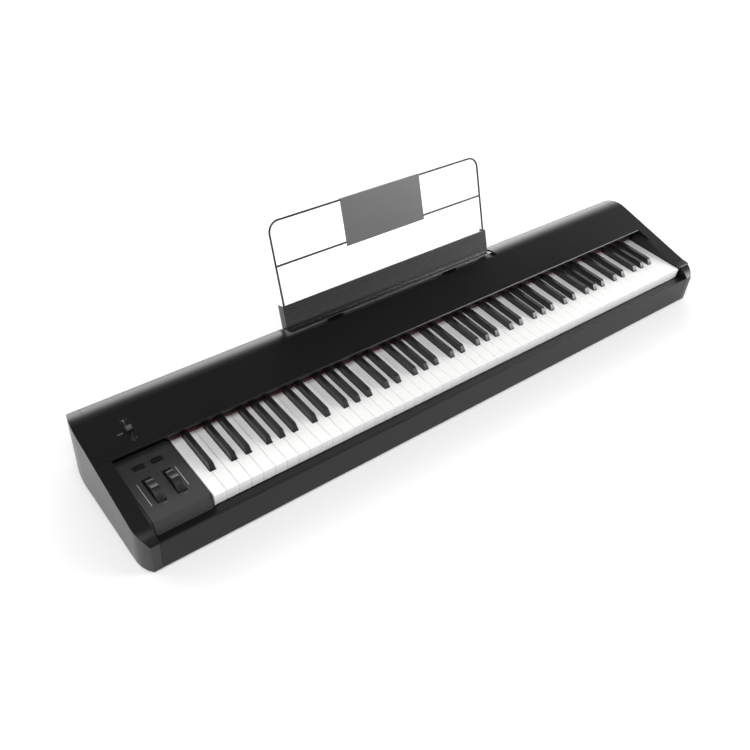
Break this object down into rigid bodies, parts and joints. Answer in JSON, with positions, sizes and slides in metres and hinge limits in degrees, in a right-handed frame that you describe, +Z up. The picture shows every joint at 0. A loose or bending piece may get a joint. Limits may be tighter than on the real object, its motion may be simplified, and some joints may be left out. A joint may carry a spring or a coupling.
{
  "type": "stage piano",
  "caption": "Low black stage piano with weighted keys, a left-hand control panel with wheels and buttons, and a lift-out wire music rest.",
  "frame": {"origin": "centre of the whole object's box, on the floor under the feet", "axes": "+X towards the treble end, +Y towards the back, +Z up"},
  "size_m": [1.3974, 0.341, 0.3322],
  "materials": {
    "case_plastic": "satin black, very fine grain",
    "panel_plastic": "dark grey, satin",
    "felt": "dark red wool felt",
    "steel": "plain bright sheet and rod",
    "board": "green circuit board",
    "rubber": "matt black",
    "control_plastic": "black, soft sheen",
    "rest_steel": "dark brushed and lacquered",
    "white_key": "gloss white",
    "black_key": "matt black",
    "hammer_metal": "dark lacquered"
  },
  "bodies": {
    "case": {"bottom_case": "case_plastic", "top_cover": "case_plastic", "left_cheek": "case_plastic", "right_cheek": "case_plastic", "front_rail": "case_plastic", "control_panel": "panel_plastic", "right_key_block": "case_plastic", "felt_strip": "felt", "key_frame": "steel", "key_pivot_rail": "steel", "hammer_rod": "steel", "front_stop_felt": "felt", "contact_board": "board", "contact_strip": "rubber", "main_board": "board", "panel_board": "board", "wheel_bracket": "steel", "wheel_axle": "steel", "pitch_spring": "steel", "slider_body": "steel", "jack_plate": "panel_plastic", "dc_inlet": "control_plastic", "usb_port": "steel", "midi_port": "control_plastic", "pedal_jacks": "control_plastic", "feet": "rubber", "case_screws": "steel"},
    "key_c": {"key_c": "white_key"},
    "key_c_sharp": {"key_c_sharp": "black_key"},
    "key_d": {"key_d": "white_key"},
    "key_d_sharp": {"key_d_sharp": "black_key"},
    "key_e": {"key_e": "white_key"},
    "key_f": {"key_f": "white_key"},
    "key_f_sharp": {"key_f_sharp": "black_key"},
    "key_g": {"key_g": "white_key"},
    "key_g_sharp": {"key_g_sharp": "black_key"},
    "key_a": {"key_a": "white_key"},
    "key_a_sharp": {"key_a_sharp": "black_key"},
    "key_b": {"key_b": "white_key"},
    "hammer_c": {"hammer_c": "hammer_metal"},
    "hammer_c_sharp": {"hammer_c_sharp": "hammer_metal"},
    "hammer_d": {"hammer_d": "hammer_metal"},
    "hammer_d_sharp": {"hammer_d_sharp": "hammer_metal"},
    "hammer_e": {"hammer_e": "hammer_metal"},
    "hammer_f": {"hammer_f": "hammer_metal"},
    "hammer_f_sharp": {"hammer_f_sharp": "hammer_metal"},
    "hammer_g": {"hammer_g": "hammer_metal"},
    "hammer_g_sharp": {"hammer_g_sharp": "hammer_metal"},
    "hammer_a": {"hammer_a": "hammer_metal"},
    "hammer_a_sharp": {"hammer_a_sharp": "hammer_metal"},
    "hammer_b": {"hammer_b": "hammer_metal"},
    "pitch_wheel": {"pitch_wheel": "control_plastic"},
    "mod_wheel": {"mod_wheel": "control_plastic"},
    "slider_cap": {"slider_cap": "control_plastic"},
    "octave_down_button": {"octave_down_button": "control_plastic"},
    "octave_up_button": {"octave_up_button": "control_plastic"},
    "power_button": {"power_button": "control_plastic"},
    "music_rest": {"rest_frame": "rest_steel", "rest_plate": "rest_steel", "rest_shelf": "rest_steel"}
  },
  "joints": [
    {"name": "key_c_press", "type": "hinge", "parent": "case", "child": "key_c", "pos_m": [0, 0.08654, 0.068], "axis": [1, 0, 0], "range_deg": [0, 2.47], "stiffness_Nm_per_rad": 2, "springref_deg": -11.46},
    {"name": "key_c_sharp_press", "type": "hinge", "parent": "case", "child": "key_c_sharp", "pos_m": [0, 0.08654, 0.068], "axis": [1, 0, 0], "range_deg": [0, 2.47], "stiffness_Nm_per_rad": 2, "springref_deg": -11.46},
    {"name": "key_d_press", "type": "hinge", "parent": "case", "child": "key_d", "pos_m": [0, 0.08654, 0.068], "axis": [1, 0, 0], "range_deg": [0, 2.47], "stiffness_Nm_per_rad": 2, "springref_deg": -11.46},
    {"name": "key_d_sharp_press", "type": "hinge", "parent": "case", "child": "key_d_sharp", "pos_m": [0, 0.08654, 0.068], "axis": [1, 0, 0], "range_deg": [0, 2.47], "stiffness_Nm_per_rad": 2, "springref_deg": -11.46},
    {"name": "key_e_press", "type": "hinge", "parent": "case", "child": "key_e", "pos_m": [0, 0.08654, 0.068], "axis": [1, 0, 0], "range_deg": [0, 2.47], "stiffness_Nm_per_rad": 2, "springref_deg": -11.46},
    {"name": "key_f_press", "type": "hinge", "parent": "case", "child": "key_f", "pos_m": [0, 0.08654, 0.068], "axis": [1, 0, 0], "range_deg": [0, 2.47], "stiffness_Nm_per_rad": 2, "springref_deg": -11.46},
    {"name": "key_f_sharp_press", "type": "hinge", "parent": "case", "child": "key_f_sharp", "pos_m": [0, 0.08654, 0.068], "axis": [1, 0, 0], "range_deg": [0, 2.47], "stiffness_Nm_per_rad": 2, "springref_deg": -11.46},
    {"name": "key_g_press", "type": "hinge", "parent": "case", "child": "key_g", "pos_m": [0, 0.08654, 0.068], "axis": [1, 0, 0], "range_deg": [0, 2.47], "stiffness_Nm_per_rad": 2, "springref_deg": -11.46},
    {"name": "key_g_sharp_press", "type": "hinge", "parent": "case", "child": "key_g_sharp", "pos_m": [0, 0.08654, 0.068], "axis": [1, 0, 0], "range_deg": [0, 2.47], "stiffness_Nm_per_rad": 2, "springref_deg": -11.46},
    {"name": "key_a_press", "type": "hinge", "parent": "case", "child": "key_a", "pos_m": [0, 0.08654, 0.068], "axis": [1, 0, 0], "range_deg": [0, 2.47], "stiffness_Nm_per_rad": 2, "springref_deg": -11.46},
    {"name": "key_a_sharp_press", "type": "hinge", "parent": "case", "child": "key_a_sharp", "pos_m": [0, 0.08654, 0.068], "axis": [1, 0, 0], "range_deg": [0, 2.47], "stiffness_Nm_per_rad": 2, "springref_deg": -11.46},
    {"name": "key_b_press", "type": "hinge", "parent": "case", "child": "key_b", "pos_m": [0, 0.08654, 0.068], "axis": [1, 0, 0], "range_deg": [0, 2.47], "stiffness_Nm_per_rad": 2, "springref_deg": -11.46},
    {"name": "hammer_c_swing", "type": "hinge", "parent": "case", "child": "hammer_c", "pos_m": [0, -0.03547, 0.04], "axis": [1, 0, 0], "range_deg": [0, 8.6]},
    {"name": "hammer_c_sharp_swing", "type": "hinge", "parent": "case", "child": "hammer_c_sharp", "pos_m": [0, -0.03547, 0.04], "axis": [1, 0, 0], "range_deg": [0, 8.6]},
    {"name": "hammer_d_swing", "type": "hinge", "parent": "case", "child": "hammer_d", "pos_m": [0, -0.03547, 0.04], "axis": [1, 0, 0], "range_deg": [0, 8.6]},
    {"name": "hammer_d_sharp_swing", "type": "hinge", "parent": "case", "child": "hammer_d_sharp", "pos_m": [0, -0.03547, 0.04], "axis": [1, 0, 0], "range_deg": [0, 8.6]},
    {"name": "hammer_e_swing", "type": "hinge", "parent": "case", "child": "hammer_e", "pos_m": [0, -0.03547, 0.04], "axis": [1, 0, 0], "range_deg": [0, 8.6]},
    {"name": "hammer_f_swing", "type": "hinge", "parent": "case", "child": "hammer_f", "pos_m": [0, -0.03547, 0.04], "axis": [1, 0, 0], "range_deg": [0, 8.6]},
    {"name": "hammer_f_sharp_swing", "type": "hinge", "parent": "case", "child": "hammer_f_sharp", "pos_m": [0, -0.03547, 0.04], "axis": [1, 0, 0], "range_deg": [0, 8.6]},
    {"name": "hammer_g_swing", "type": "hinge", "parent": "case", "child": "hammer_g", "pos_m": [0, -0.03547, 0.04], "axis": [1, 0, 0], "range_deg": [0, 8.6]},
    {"name": "hammer_g_sharp_swing", "type": "hinge", "parent": "case", "child": "hammer_g_sharp", "pos_m": [0, -0.03547, 0.04], "axis": [1, 0, 0], "range_deg": [0, 8.6]},
    {"name": "hammer_a_swing", "type": "hinge", "parent": "case", "child": "hammer_a", "pos_m": [0, -0.03547, 0.04], "axis": [1, 0, 0], "range_deg": [0, 8.6]},
    {"name": "hammer_a_sharp_swing", "type": "hinge", "parent": "case", "child": "hammer_a_sharp", "pos_m": [0, -0.03547, 0.04], "axis": [1, 0, 0], "range_deg": [0, 8.6]},
    {"name": "hammer_b_swing", "type": "hinge", "parent": "case", "child": "hammer_b", "pos_m": [0, -0.03547, 0.04], "axis": [1, 0, 0], "range_deg": [0, 8.6]},
    {"name": "pitch_wheel_turn", "type": "hinge", "parent": "case", "child": "pitch_wheel", "pos_m": [0, -0.08196, 0.0635], "axis": [1, 0, 0], "range_deg": [-35, 35], "stiffness_Nm_per_rad": 0.06},
    {"name": "mod_wheel_turn", "type": "hinge", "parent": "case", "child": "mod_wheel", "pos_m": [0, -0.08196, 0.0635], "axis": [1, 0, 0], "range_deg": [-35, 35]},
    {"name": "volume_slide", "type": "slide", "parent": "case", "child": "slider_cap", "axis": [0, 0.9748, 0.2233], "range_m": [-0.019, 0.019]},
    {"name": "octave_down_press", "type": "slide", "parent": "case", "child": "octave_down_button", "axis": [0, 0, -1], "range_m": [0, 0.0015], "stiffness_N_per_m": 400, "springref_m": -0.001},
    {"name": "octave_up_press", "type": "slide", "parent": "case", "child": "octave_up_button", "axis": [0, 0, -1], "range_m": [0, 0.0015], "stiffness_N_per_m": 400, "springref_m": -0.001},
    {"name": "power_press", "type": "slide", "parent": "case", "child": "power_button", "axis": [0, -1, 0], "range_m": [0, 0.002], "stiffness_N_per_m": 400, "springref_m": -0.001},
    {"name": "music_rest_lift", "type": "slide", "parent": "case", "child": "music_rest", "axis": [0, 0.342, 0.9397], "range_m": [0, 0.05]}
  ],
  "couplings": [
    {"joint": "hammer_c_swing", "follows": "key_c_press", "ratio": 3.44},
    {"joint": "hammer_c_sharp_swing", "follows": "key_c_sharp_press", "ratio": 3.44},
    {"joint": "hammer_d_swing", "follows": "key_d_press", "ratio": 3.44},
    {"joint": "hammer_d_sharp_swing", "follows": "key_d_sharp_press", "ratio": 3.44},
    {"joint": "hammer_e_swing", "follows": "key_e_press", "ratio": 3.44},
    {"joint": "hammer_f_swing", "follows": "key_f_press", "ratio": 3.44},
    {"joint": "hammer_f_sharp_swing", "follows": "key_f_sharp_press", "ratio": 3.44},
    {"joint": "hammer_g_swing", "follows": "key_g_press", "ratio": 3.44},
    {"joint": "hammer_g_sharp_swing", "follows": "key_g_sharp_press", "ratio": 3.44},
    {"joint": "hammer_a_swing", "follows": "key_a_press", "ratio": 3.44},
    {"joint": "hammer_a_sharp_swing", "follows": "key_a_sharp_press", "ratio": 3.44},
    {"joint": "hammer_b_swing", "follows": "key_b_press", "ratio": 3.44}
  ]
}
